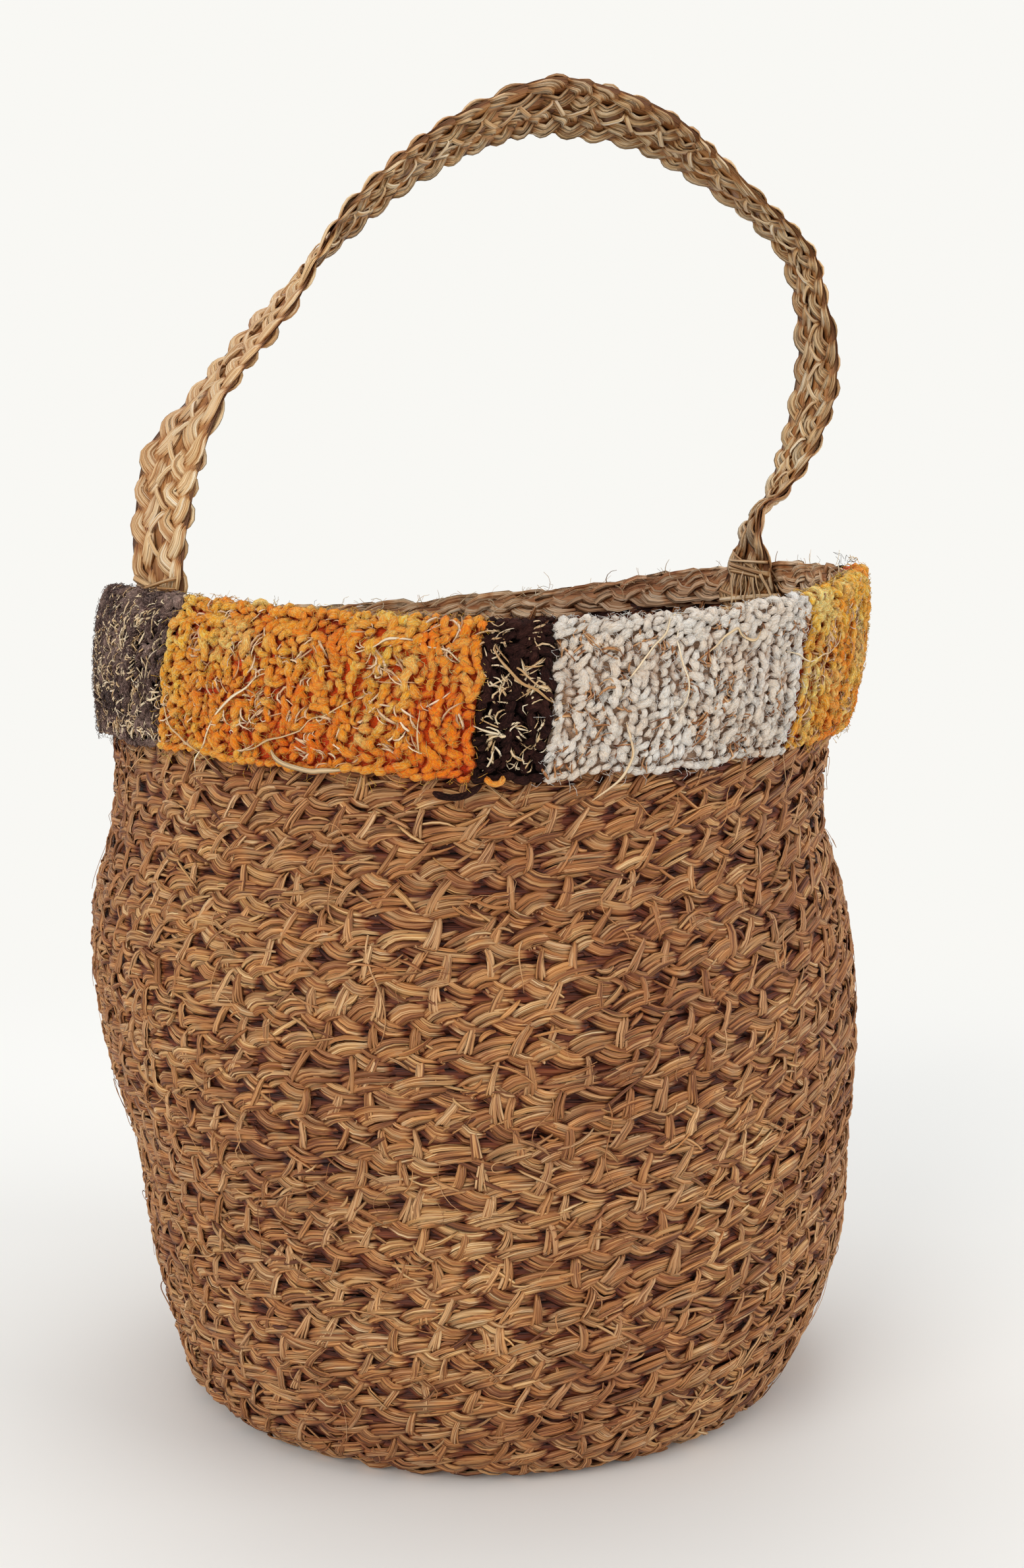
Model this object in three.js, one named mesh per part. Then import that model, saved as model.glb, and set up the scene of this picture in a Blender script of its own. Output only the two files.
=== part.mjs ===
// Round basket made of one long raffia plait, sewn edge to edge in a spiral: flat for the base, then up the
// wall. A yarn band in colour blocks goes round the rim, and a strap of two plaits arches over the mouth.
// Millimetres, +Z up. The origin is the centre of the underside, and the strap goes over it from -X to +X.
// A place on the wall is given as (along, angle, out): along is measured up the wall's mid line from the
// edge of the flat base, and is negative on the base. Out is measured outward from the plait's mid line.
import * as THREE from 'three';

// Plait of the base and wall
const plaitThickness = 5;
const wallCourses = 26;          // turns of the plait in the wall
const courseGap = 0.5;           // between one turn and the next
const stepsPerTurn = 24;
const plaitCrown = 0.55;         // share of the plait's width that is flat
const seamAngle = 60;            // degrees: where one course ends and the next begins
const lastTurnShare = 0.9;       // how far round the last turn goes before the plait ends in a point

// Base
const baseFlatRadius = 110;
const knotRadius = 5;            // smallest radius of the folded start
const knotSteps = 24;

// Wall, bottom to top: the plait's mid line as shares of the rim's height, of how far the belly lies outside
// the flat base's radius, and of how far the soft wall leans to the side
const rimHeight = 309;
const rimOut = 30.5;
const bellyOut = 37.9;
const wallLean = 7.5;
const wallStations = [
  [0.02104, 0.22427, 0], [0.05178, 0.3562, 0.13333], [0.09709, 0.48813, 0.33333],
  [0.19417, 0.69921, 0.53333], [0.32362, 0.80475, 0.33333], [0.43689, 0.96306, -0.2],
  [0.55016, 1, -0.66667], [0.63107, 0.92348, -0.93333], [0.69579, 0.76517, -1],
  [0.76052, 0.7124, -0.86667], [0.80906, 0.73879, -0.66667], [0.90615, 0.84433, -0.33333],
  [0.97087, 0.84433, -0.13333],
];
const leanDirection = -34;       // degrees
const rimTilt = 6.5;             // the rim stands this much higher on one side, and lower on the other
const rimTiltAngle = -8;
const rimSaddle = 6.5;           // and this much higher at two opposite places
const rimSaddleAngle = -14;

// Yarn band
const bandHeight = 50;
const bandThickness = 5;
const bandGap = 0.5;             // to the wall, and between one block and the next
const bandTop = 4;               // yarn over the top of the rim
const bandRounding = 1.6;
const bandRows = 5;              // flat rows up the band
const bandStart = -171;          // degrees: left edge of the front orange block
const bandBlocks = [             // in turn round the rim: name, degrees, yarn
  ['band_orange_front', 47, 'orange'],
  ['band_dark_stripe_front', 9, 'dark'],
  ['band_cream_front', 40, 'cream'],
  ['band_orange_right', 46, 'orange'],
  ['band_dark_stripe_right', 10, 'dark'],
  ['band_cream_back', 55, 'cream'],
  ['band_orange_back', 50, 'orange'],
  ['band_dark_stripe_back', 10, 'dark'],
  ['band_cream_left', 38, 'cream'],
  ['band_brown_left', 55, 'brown'],
];

// Strap
const strapWidth = 30;
const strapThickness = 6;
const strapSeam = 0.5;           // between its two plaits
const strapGap = 0.45;           // between the swinging arch and each sewn end
const strapLean = 2.2;           // how far outside its sewn end the arch starts
const strapStart = 176.5;        // degrees round the rim, where its left end is sewn
const strapEnd = -2;             // and its right end
const archHeight = 167;
const archSteps = 46;
const footSteps = 5;             // rings in the rounded foot of each plait
const footTip = 0.2;             // share of a step that the first ring lies in from the tip
const strapCrown = 0.44;         // share of each strap plait's width that is flat
// Along the arch, from the left foot to the right: share of the span, share of the height, roll in degrees
// and share of the full width
const archStations = [
  [0.008, 0.066, 20, 1], [0.03, 0.188, 24, 1], [0.083, 0.313, 4, 1], [0.195, 0.506, 0, 1],
  [0.296, 0.684, -28, 1], [0.442, 0.86, -33, 1], [0.621, 0.979, -37, 1], [0.728, 0.973, -28, 1],
  [0.828, 0.941, -14, 1], [0.98, 0.811, 9, 1], [1.101, 0.668, 13, 1], [1.127, 0.548, 15, 1],
  [1.138, 0.428, 5, 1], [1.127, 0.296, 0, 1], [1.09, 0.156, 4, 0.88], [1.041, 0.05, 16, 0.76],
];
const footRolls = [18, 28];      // of the arch's two feet
const footWidths = [1, 0.84];
const lacingWidth = 1.6;
const lacingGap = 0.35;
const lacingReach = 3.4;         // to each side of the seam
const lacingPitch = 17;          // along the strap, from one crossing back to the same side
const lacingMargin = 30;         // plain strap left at each foot

// Sewn ends of the strap
const endLength = 56;            // down the inside of the wall
const endGap = 0.5;
const endRows = 7;
const lashingWidth = 1.6;
const lashingGap = 0.4;
const lashingTurns = 4;
const lashingMargin = 5;         // plain strap left above and below the lashing
const lashingTurnIn = 0.92;      // share of the way across at which it turns in to the wall

const colours = {
  raffia: 0xb48a5c, strap: 0xcbb88f, stitch: 0xd2ad78,
  orange: 0xee9a2a, dark: 0x2a1d1c, cream: 0xdfd6c6, brown: 0x54403f,
};

const up = new THREE.Vector3(0, 0, 1);
const radians = THREE.MathUtils.degToRad;

function finish(name) {
  const yarn = ['orange', 'dark', 'cream', 'brown'].includes(name);
  return new THREE.MeshStandardMaterial({ color: colours[name], roughness: yarn ? 0.95 : 0.8, metalness: 0 });
}

// The wall's outline. Its points hold radius, lean and height.
const baseHeight = plaitThickness / 2;
const outline = new THREE.CatmullRomCurve3([
  new THREE.Vector3(baseFlatRadius, 0, baseHeight),
  ...wallStations.map(([height, out, lean]) => new THREE.Vector3(
    baseFlatRadius + out * bellyOut, lean * wallLean, height * rimHeight,
  )),
  new THREE.Vector3(baseFlatRadius + rimOut, 0, rimHeight),
], false, 'centripetal');
outline.arcLengthDivisions = 800;
const wallLength = outline.getLength();
const pitch = wallLength / wallCourses;
const seam = radians(seamAngle);
const turnStep = (2 * Math.PI) / stepsPerTurn;

function outlineAt(along) {
  if (along <= 0) return new THREE.Vector3(baseFlatRadius + along, 0, baseHeight);
  if (along <= wallLength) return outline.getPointAt(along / wallLength);
  const rim = outline.getPointAt(1);
  return rim.addScaledVector(outline.getTangentAt(1), along - wallLength);
}

function rimRise(angle) {
  return rimTilt * Math.cos(angle - radians(rimTiltAngle))
    + rimSaddle * Math.cos(2 * (angle - radians(rimSaddleAngle)));
}

function midPoint(along, angle) {
  const { x: radius, y: lean, z: height } = outlineAt(along);
  const share = along > 0 ? (height - baseHeight) / (rimHeight - baseHeight) : 0;
  return new THREE.Vector3(
    radius * Math.cos(angle) + lean * Math.cos(radians(leanDirection)),
    radius * Math.sin(angle) + lean * Math.sin(radians(leanDirection)),
    height + rimRise(angle) * share * share,
  );
}

// A place at one of the wall's corners, and any place, which lies on the flat facet between two corners
function cornerPoint(along, angle, out) {
  const nudge = 0.5;             // each way along the wall, for its slope
  const rise = midPoint(along + nudge, angle).sub(midPoint(along - nudge, angle));
  const turn = new THREE.Vector3(-Math.sin(angle), Math.cos(angle), 0);
  const normal = turn.cross(rise).normalize();
  return midPoint(along, angle).addScaledVector(normal, out);
}

function wallPoint(along, angle, out) {
  const place = (angle - seam) / turnStep;
  const low = Math.floor(place + 1e-9);
  const share = place - low;
  const point = cornerPoint(along, seam + low * turnStep, out);
  if (share > 1e-9) point.lerp(cornerPoint(along, seam + (low + 1) * turnStep, out), share);
  return point;
}

// Angles from one to another that include every corner of the wall on the way
function anglesBetween(first, last) {
  const angles = [first];
  for (let k = Math.ceil((first - seam) / turnStep + 1e-6); seam + k * turnStep < last - 1e-6; k += 1) {
    angles.push(seam + k * turnStep);
  }
  angles.push(last);
  return angles;
}

// A closed body through rings of points that all have the same count. The first and last ring are capped.
function bodyThroughRings(rings) {
  const count = rings[0].length;
  const positions = rings.flat().flatMap((point) => [point.x, point.y, point.z]);
  const faces = [];
  for (let r = 0; r + 1 < rings.length; r += 1) {
    for (let i = 0; i < count; i += 1) {
      const a = r * count + i;
      const b = r * count + ((i + 1) % count);
      faces.push(a, b, b + count, a, b + count, a + count);
    }
  }
  const last = (rings.length - 1) * count;
  for (const [a, b, c] of capFaces(rings[0])) faces.push(a, c, b);
  for (const [a, b, c] of capFaces(rings[rings.length - 1])) faces.push(last + a, last + b, last + c);
  const geometry = new THREE.BufferGeometry();
  geometry.setAttribute('position', new THREE.Float32BufferAttribute(positions, 3));
  geometry.setIndex(faces);
  if (volumeOf(geometry) < 0) {
    for (let i = 0; i < faces.length; i += 3) [faces[i + 1], faces[i + 2]] = [faces[i + 2], faces[i + 1]];
    geometry.setIndex(faces);
  }
  geometry.computeVertexNormals();
  return geometry;
}

// Triangles of a flat ring, turned the same way round as the ring itself
function capFaces(ring) {
  const centre = ring.reduce((sum, point) => sum.add(point), new THREE.Vector3()).divideScalar(ring.length);
  const normal = new THREE.Vector3();
  ring.forEach((point, i) => {
    const next = ring[(i + 1) % ring.length];
    normal.add(point.clone().sub(centre).cross(next.clone().sub(centre)));
  });
  normal.normalize();
  const across = ring[0].clone().sub(centre);
  across.addScaledVector(normal, -across.dot(normal)).normalize();
  const along = normal.clone().cross(across);
  const flat = ring.map((point) => {
    const arm = point.clone().sub(centre);
    return new THREE.Vector2(arm.dot(across), arm.dot(along));
  });
  return THREE.ShapeUtils.triangulateShape(flat, []);
}

function volumeOf(geometry) {
  const position = geometry.getAttribute('position');
  const index = geometry.getIndex();
  const corner = (i) => new THREE.Vector3().fromBufferAttribute(position, index.getX(i));
  let volume = 0;
  for (let i = 0; i < index.count; i += 3) volume += corner(i).dot(corner(i + 1).cross(corner(i + 2))) / 6;
  return volume;
}

function piece(name, geometry, material) {
  const mesh = new THREE.Mesh(geometry, finish(material));
  mesh.name = name;
  return mesh;
}

// One section of the flat plait, between two places along the wall
function plaitSection(low, high, angle) {
  const middle = (low + high) / 2;
  const crown = ((high - low) / 2) * plaitCrown;
  const half = plaitThickness / 2;
  const places = [
    [high, 0], [middle + crown, half], [middle - crown, half],
    [low, 0], [middle - crown, -half], [middle + crown, -half],
  ];
  return places.map(([along, out]) => wallPoint(along, angle, out));
}

// A stretch of the spiral. Turns are counted from the start of the wall, so the base's turns are negative.
function plaitTurns(name, firstTurn, lastTurn) {
  const clearance = courseGap / 2 / (baseFlatRadius * 2 * Math.PI);
  const first = seam + (firstTurn + clearance) * 2 * Math.PI;
  const last = seam + (lastTurn - clearance) * 2 * Math.PI;
  const rings = anglesBetween(first, last).map((angle) => {
    const turn = (angle - seam) / (2 * Math.PI);
    const low = turn * pitch + courseGap / 2;
    const high = Math.min((turn + 1) * pitch - courseGap / 2, wallLength);
    return plaitSection(low, high, angle);
  });
  return piece(name, bodyThroughRings(rings), 'raffia');
}

// The folded start: a disc whose edge runs outward once round, so that the first turn of the coil fits it
function centreKnot(firstTurn) {
  const rim = [];
  for (let i = 0; i <= knotSteps; i += 1) {
    const turn = firstTurn + (i / knotSteps) * lastTurnShare;
    const radius = baseFlatRadius + turn * pitch - courseGap / 2;
    const angle = seam + turn * 2 * Math.PI;
    rim.push(new THREE.Vector3(radius * Math.cos(angle), radius * Math.sin(angle), 0));
  }
  const rings = [0, plaitThickness].map((height) => rim.map((point) => point.clone().setZ(height)));
  return piece('base_centre_knot', bodyThroughRings(rings), 'raffia');
}

// Least distance between each turn of the base coil and the next, on the points of its sections
function leastCoilGap(firstTurn) {
  let least = Infinity;
  for (const angle of anglesBetween(seam + firstTurn * 2 * Math.PI, seam - 2 * Math.PI)) {
    const turn = (angle - seam) / (2 * Math.PI);
    const edge = wallPoint((turn + 1) * pitch - courseGap / 2, angle, 0);
    const next = wallPoint((turn + 1) * pitch + courseGap / 2, angle, 0);
    least = Math.min(least, edge.distanceTo(next));
  }
  return least;
}

// The band's section, hooked over the rim and flush with the wall's inner face
function bandSection(angle) {
  const hookInner = plaitThickness / 2;
  const inner = plaitThickness / 2 + bandGap;
  const outer = inner + bandThickness;
  const low = wallLength - bandHeight;
  const top = wallLength + bandGap + bandTop;
  const rows = Array.from({ length: bandRows - 1 }, (_, i) => low + (bandHeight * (i + 1)) / bandRows);
  const places = [
    [low, inner], [low, outer - bandRounding], [low + bandRounding, outer],
    ...rows.map((along) => [along, outer]),
    [top - 2 * bandRounding, outer], [top, outer - 2 * bandRounding], [top, bandRounding - hookInner],
    [top - bandRounding, -hookInner], [wallLength + bandGap, -hookInner], [wallLength + bandGap, inner],
    ...rows.reverse().map((along) => [along, inner]),
  ];
  return places.map(([along, out]) => wallPoint(along, angle, out));
}

function bandBlock(name, startDegrees, degrees, yarn) {
  const rimRadius = baseFlatRadius + rimOut;
  const clearance = bandGap / 2 / rimRadius;
  const first = radians(startDegrees) + clearance;
  const last = radians(startDegrees + degrees) - clearance;
  return piece(name, bodyThroughRings(anglesBetween(first, last).map(bandSection)), yarn);
}

// The strap's feet: the middle of each rounded foot, about which the arch swings
const strapHalf = strapWidth / 2;
const endInner = plaitThickness / 2 + endGap;

function strapFoot(angle) {
  const sewn = wallPoint(wallLength, angle, -endInner - strapThickness / 2);
  const top = wallPoint(wallLength + bandGap + bandTop, angle, 0).z;
  const outward = new THREE.Vector3(Math.cos(angle), Math.sin(angle), 0);
  return sewn.addScaledVector(outward, strapLean).setZ(top + strapGap + strapHalf);
}

const leftFoot = strapFoot(radians(strapStart));
const rightFoot = strapFoot(radians(strapEnd));

// The arch's mid line runs straight down through each foot
const span = rightFoot.clone().sub(leftFoot);
const archUp = new THREE.Vector3(-span.z, 0, span.x).normalize();
const front = new THREE.Vector3(span.y, -span.x, 0).normalize();
const archLine = new THREE.CatmullRomCurve3([
  leftFoot.clone().addScaledVector(up, -strapHalf),
  leftFoot,
  ...archStations.map(([along, height]) => leftFoot.clone().addScaledVector(span, along)
    .addScaledVector(archUp, height * archHeight)),
  rightFoot,
  rightFoot.clone().addScaledVector(up, -strapHalf),
], false, 'centripetal');
archLine.arcLengthDivisions = 800;
const archLength = archLine.getLength();

// Roll and width, straight between the stations
function withFeet(middle, [left, right]) {
  return [left, left, ...middle, right, right];
}

const rolls = withFeet(archStations.map(([, , roll]) => roll), footRolls);
const widths = withFeet(archStations.map(([, , , width]) => width), footWidths);

function stationValue(values, share) {
  const place = archLine.getUtoTmapping(share) * (values.length - 1);
  const low = Math.min(Math.floor(place), values.length - 2);
  return THREE.MathUtils.lerp(values[low], values[low + 1], place - low);
}

// Where the strap is at a distance along the arch: its middle, and the ways along it, across it and outward
function strapFrame(distance) {
  const share = distance / archLength;
  const along = archLine.getTangentAt(share);
  const under = along.clone().cross(front).normalize();
  const roll = radians(stationValue(rolls, share));
  const across = front.clone().multiplyScalar(Math.cos(roll)).addScaledVector(under, Math.sin(roll));
  const outward = across.clone().cross(along).normalize();
  return { middle: archLine.getPointAt(share), across, outward, width: stationValue(widths, share) };
}

function strapPoint(distance, across, outward) {
  const frame = strapFrame(distance);
  return frame.middle.addScaledVector(frame.across, across).addScaledVector(frame.outward, outward);
}

// Distances of the rings: close together round each foot, and even along the arch
function ringDistances() {
  const foot = [];
  for (let i = 1; i < footSteps; i += 1) {
    const turn = ((i - 1 + footTip) / footSteps) * (Math.PI / 2);
    foot.push(strapHalf * (1 - Math.cos(turn)));
  }
  const between = archLength - 2 * strapHalf;
  const middle = [];
  for (let i = 0; i <= archSteps; i += 1) middle.push(strapHalf + (between * i) / archSteps);
  return [...foot, ...middle, ...foot.map((distance) => archLength - distance).reverse()];
}

function halfWidthAt(distance) {
  const fromEnd = Math.min(distance, archLength - distance);
  const { width } = strapFrame(distance);
  if (fromEnd >= strapHalf) return strapHalf * width;
  return Math.sqrt(strapHalf ** 2 - (strapHalf - fromEnd) ** 2) * width;
}

function strapPlait(name, side) {
  const rings = ringDistances().map((distance) => {
    const inner = strapSeam / 2;
    const outer = halfWidthAt(distance);
    const middle = (inner + outer) / 2;
    const crown = ((outer - inner) / 2) * strapCrown;
    const half = strapThickness / 2;
    const places = [
      [outer, 0], [middle + crown, half], [middle - crown, half],
      [inner, 0], [middle - crown, -half], [middle + crown, -half],
    ];
    return places.map(([across, outward]) => strapPoint(distance, side * across, outward));
  });
  return piece(name, bodyThroughRings(rings), 'strap');
}

// A lace that goes from side to side: its section is a square stood on its corner
function laceThrough(points, width) {
  const half = width / 2;
  const rings = points.map(({ middle, along, outward }) => {
    const side = along.clone().cross(outward).normalize();
    return [
      middle.clone().addScaledVector(outward, half), middle.clone().addScaledVector(side, half),
      middle.clone().addScaledVector(outward, -half), middle.clone().addScaledVector(side, -half),
    ];
  });
  return bodyThroughRings(rings);
}

function strapLacing() {
  const clear = strapThickness / 2 + lacingGap + lacingWidth / 2;
  const run = archLength - 2 * lacingMargin;
  const crossings = 2 * Math.round(run / lacingPitch);
  const points = [];
  for (let i = 0; i <= crossings; i += 1) {
    const distance = lacingMargin + (run * i) / crossings;
    const side = i % 2 === 0 ? 1 : -1;
    const frame = strapFrame(distance);
    points.push({
      middle: strapPoint(distance, side * lacingReach * frame.width, clear),
      along: frame.across.clone().cross(frame.outward).normalize(),
      outward: frame.outward,
    });
  }
  return piece('strap_seam_lacing', laceThrough(points, lacingWidth), 'strap');
}

// A sewn end lies against the wall's facets. Its own places are (down, across, deep): down from the rim,
// across the strap and deep from the wall's inner face into the basket.
function endPoint(angle, down, across, deep) {
  const radius = baseFlatRadius + rimOut - plaitThickness;
  return wallPoint(wallLength - down, angle + across / radius, -plaitThickness / 2 - deep);
}

function sewnEnd(name, angle, foot) {
  const topAlong = -(bandGap + bandTop);
  const downs = [topAlong, ...Array.from({ length: endRows + 1 }, (_, i) => (endLength * i) / endRows)];
  const acrossSteps = [-1, -0.5, 0, 0.5, 1].map((share) => share * strapHalf);
  const rings = downs.map((down) => {
    const far = acrossSteps.map((across) => endPoint(angle, down, across, endGap + strapThickness));
    const near = acrossSteps.map((across) => endPoint(angle, down, across, endGap)).reverse();
    const ring = [...near, ...far];
    if (down === topAlong) ring.forEach((point) => point.setZ(foot.z - strapHalf - strapGap));
    return ring;
  });
  return piece(name, bodyThroughRings(rings), 'strap');
}

function endLashing(name, angle) {
  const deep = endGap + strapThickness + lashingGap + lashingWidth / 2;
  const reach = strapHalf + lashingWidth * 1.5;
  const run = endLength - 2 * lashingMargin;
  const crossings = 2 * lashingTurns;
  const shares = [-1, -lashingTurnIn, -0.5, 0, 0.5, lashingTurnIn, 1];
  const points = [];
  for (let i = 0; i < crossings; i += 1) {
    const side = i % 2 === 0 ? 1 : -1;
    shares.forEach((share, k) => {
      const atWall = Math.abs(share) === 1;
      if (k === 0 && i > 0) return;
      const down = lashingMargin + (run * (i + (share + 1) / 2)) / crossings;
      const middle = endPoint(angle, down, side * share * reach, atWall ? lashingWidth : deep);
      points.push({ middle, down, across: side * share * reach });
    });
  }
  const laid = points.map(({ middle, down, across }, i) => {
    const before = points[Math.max(i - 1, 0)].middle;
    const after = points[Math.min(i + 1, points.length - 1)].middle;
    const along = after.clone().sub(before).normalize();
    const inward = endPoint(angle, down, across, 1).sub(endPoint(angle, down, across, 0)).normalize();
    return { middle, along, outward: inward.addScaledVector(along, -inward.dot(along)).normalize() };
  });
  return piece(name, laceThrough(laid, lashingWidth), 'stitch');
}

const firstBaseTurn = -(baseFlatRadius - knotRadius) / pitch;
const basket = new THREE.Group();
basket.add(centreKnot(firstBaseTurn));
basket.add(plaitTurns('base_coil', firstBaseTurn, 0));
for (let course = 1; course <= wallCourses; course += 1) {
  const end = course === wallCourses ? course - 1 + lastTurnShare : course;
  basket.add(plaitTurns(`wall_course_${String(course).padStart(2, '0')}`, course - 1, end));
}

let blockStart = bandStart;
for (const [name, degrees, yarn] of bandBlocks) {
  basket.add(bandBlock(name, blockStart, degrees, yarn));
  blockStart += degrees;
}

basket.add(strapPlait('strap_plait_front', 1));
basket.add(strapPlait('strap_plait_back', -1));
basket.add(strapLacing());
basket.add(sewnEnd('strap_end_left', radians(strapStart), leftFoot));
basket.add(sewnEnd('strap_end_right', radians(strapEnd), rightFoot));
basket.add(endLashing('end_lashing_left', radians(strapStart)));
basket.add(endLashing('end_lashing_right', radians(strapEnd)));

const shown = (point) => point.toArray().map((value) => value.toFixed(4)).join(', ');
console.log(`feet of the arch: ${shown(leftFoot)} and ${shown(rightFoot)}`);

console.log(`least gap of the base coil to itself: ${leastCoilGap(firstBaseTurn).toFixed(3)} mm`);

export default basket;
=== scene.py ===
import math

import bmesh
import bpy
import numpy as np
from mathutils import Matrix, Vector


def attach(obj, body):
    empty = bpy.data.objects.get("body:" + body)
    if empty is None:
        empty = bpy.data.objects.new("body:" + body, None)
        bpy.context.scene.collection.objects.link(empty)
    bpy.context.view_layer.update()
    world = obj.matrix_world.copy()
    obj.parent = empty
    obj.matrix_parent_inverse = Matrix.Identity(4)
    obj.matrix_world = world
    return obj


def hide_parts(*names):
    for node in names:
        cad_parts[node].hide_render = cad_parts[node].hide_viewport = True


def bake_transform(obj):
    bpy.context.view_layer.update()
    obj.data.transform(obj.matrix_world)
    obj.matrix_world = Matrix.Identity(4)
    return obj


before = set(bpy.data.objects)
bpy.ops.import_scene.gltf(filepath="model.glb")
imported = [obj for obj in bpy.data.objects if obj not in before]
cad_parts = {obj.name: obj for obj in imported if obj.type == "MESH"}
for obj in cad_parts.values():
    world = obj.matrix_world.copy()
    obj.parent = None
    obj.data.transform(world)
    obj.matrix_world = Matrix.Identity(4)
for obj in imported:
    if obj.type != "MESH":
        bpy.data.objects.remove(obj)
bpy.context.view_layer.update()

# Round raffia basket, sewn from one long plait, with a crocheted yarn band and a plaited strap.
# Plaits, stitches and yarn are laid out flat first, in millimetres: x along, y across, z outward.
# They are then wrapped round the wall, over the rim or along the strap.
print("frame loaded:", len(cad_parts), "solids")

# Camera and light
photoView = {
    "azimuth": -34,        # degrees
    "distance": 756,       # from the basket's middle, mm
    "height": 323,
    "lookDown": 6.67,      # degrees
    "lookRight": 0.773,
    "focalPixels": 2890,   # for a frame 2380 pixels high
    "framePixels": 2380,
}


def addObject(name, data):
    made = bpy.data.objects.new(name, data)
    bpy.context.collection.objects.link(made)
    return made


def placeCamera(look):
    turn = math.radians(look["azimuth"])
    right = Vector((math.cos(turn), math.sin(turn), 0))
    ahead = Vector((-math.sin(turn), math.cos(turn), 0))
    place = -ahead * look["distance"] + Vector((0, 0, look["height"]))
    aside, down = math.radians(look["lookRight"]), math.radians(look["lookDown"])
    level = ahead * math.cos(aside) + right * math.sin(aside)
    sight = level * math.cos(down) - Vector((0, 0, math.sin(down)))
    data = bpy.data.cameras.new("camera")
    data.sensor_fit = "VERTICAL"
    data.sensor_height = 36
    data.lens = 36 * look["focalPixels"] / look["framePixels"]
    data.clip_start = 0.01
    camera = addObject("camera", data)
    camera.location = place / 1000
    camera.rotation_euler = sight.to_track_quat("-Z", "Y").to_euler()
    bpy.context.scene.camera = camera


studio = {
    "backdrop": (0.945, 0.938, 0.905),
    "ambient": (0.93, 0.96, 1.0),
    "ambientLevel": 0.62,
    "floor": (0.9, 0.893, 0.862),
    "floorRadius": 6,          # metres
    "floorFadeStart": 0.24,    # from the middle
    "floorFadeLength": 0.7,
    "lampAim": (0, 0, 0.2),
}
lamps = {                      # place, width, power, colour
    "key": ((-3.15, -1.2, 1.6), 2.2, 64, (1, 0.97, 0.93)),
    "fill": ((2.0, -2.85, 1.25), 2.4, 53, (1, 0.98, 0.95)),
    "top": ((0.3, 0.6, 2.2), 1.6, 16, (1, 0.99, 0.97)),
}


def addNode(tree, kind, values={}, **settings):
    node = tree.nodes.new("ShaderNode" + kind)
    for name, value in settings.items():
        setattr(node, name, value)
    for name, value in values.items():
        node.inputs[name].default_value = value
    return node


def calculate(tree, operation, *terms):
    # a Math node, whose terms are sockets or plain numbers
    node = addNode(tree, "Math", operation=operation)
    for term, slot in zip(terms, node.inputs):
        if isinstance(term, (int, float)):
            slot.default_value = term
        else:
            tree.links.new(term, slot)
    return node.outputs[0]


def showMix(tree, output, share, first, second):
    # the output shows the first shader, and the second one by its share
    mix = addNode(tree, "MixShader")
    for socket, slot in zip((share, first.outputs[0], second.outputs[0]), mix.inputs):
        tree.links.new(socket, slot)
    tree.links.new(mix.outputs[0], addNode(tree, output).inputs["Surface"])


def backdropRays(tree):
    # the rays that see a plain background: the camera's, and those off gloss or through glass
    rays = addNode(tree, "LightPath").outputs
    shiny = calculate(tree, "MAXIMUM", rays["Is Glossy Ray"], rays["Is Transmission Ray"])
    return calculate(tree, "MAXIMUM", rays["Is Camera Ray"], shiny)


def meshFrom(shape, name):
    mesh = bpy.data.meshes.new(name)
    shape.to_mesh(mesh)
    shape.free()
    return mesh


def lightUp(look, lampTable):
    world = bpy.data.worlds.new("studio")
    bpy.context.scene.world = world
    world.use_nodes = True
    tree = world.node_tree
    tree.nodes.clear()
    ambient = addNode(tree, "Background", {"Color": (*look["ambient"], 1), "Strength": look["ambientLevel"]})
    backdrop = addNode(tree, "Background", {"Color": (*look["backdrop"], 1)})
    showMix(tree, "OutputWorld", backdropRays(tree), ambient, backdrop)
    for name, (place, width, power, colour) in lampTable.items():
        data = bpy.data.lights.new(name, "AREA")
        data.size, data.energy, data.color = width, power, colour
        lamp = addObject(name, data)
        lamp.location = place
        aim = Vector(look["lampAim"]) - lamp.location
        lamp.rotation_euler = aim.to_track_quat("-Z", "Y").to_euler()


def layFloor(look):
    disc = bmesh.new()
    bmesh.ops.create_circle(disc, cap_ends=True, segments=64, radius=look["floorRadius"])
    mesh = meshFrom(disc, "floor")
    material = bpy.data.materials.new("floor")
    material.use_nodes = True
    tree = material.node_tree
    tree.nodes.clear()
    matt = addNode(tree, "BsdfDiffuse", {"Color": (*look["floor"], 1)})
    glow = addNode(tree, "Emission", {"Color": (*look["backdrop"], 1)})
    length = addNode(tree, "VectorMath", operation="LENGTH")
    near, far = look["floorFadeStart"], look["floorFadeStart"] + look["floorFadeLength"]
    fade = addNode(tree, "MapRange", {"From Min": near, "From Max": far}, interpolation_type="SMOOTHSTEP")
    tree.links.new(addNode(tree, "TexCoord").outputs["Object"], length.inputs[0])
    tree.links.new(length.outputs["Value"], fade.inputs["Value"])
    seen = calculate(tree, "MULTIPLY", fade.outputs["Result"], backdropRays(tree))
    showMix(tree, "OutputMaterial", seen, matt, glow)
    mesh.materials.append(material)
    addObject("floor", mesh)


bpy.context.scene.view_settings.view_transform = "Standard"
placeCamera(photoView)
lightUp(studio, lamps)
layFloor(studio)
print("camera, light and floor made")


# Materials
# Every strand carries three attributes: "strand" is the place on it in mm (along, across, height),
# "tone" is a random number from 0 to 1, and "height" is how far it stands up, from 0 to 1.
# A low "height" gets painted shade from the recess and hollow ramps of the materials.
def linear(colour):
    return tuple(((c / 255 + 0.055) / 1.055) ** 2.4 if c > 10 else c / 255 / 12.92 for c in colour)


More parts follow.
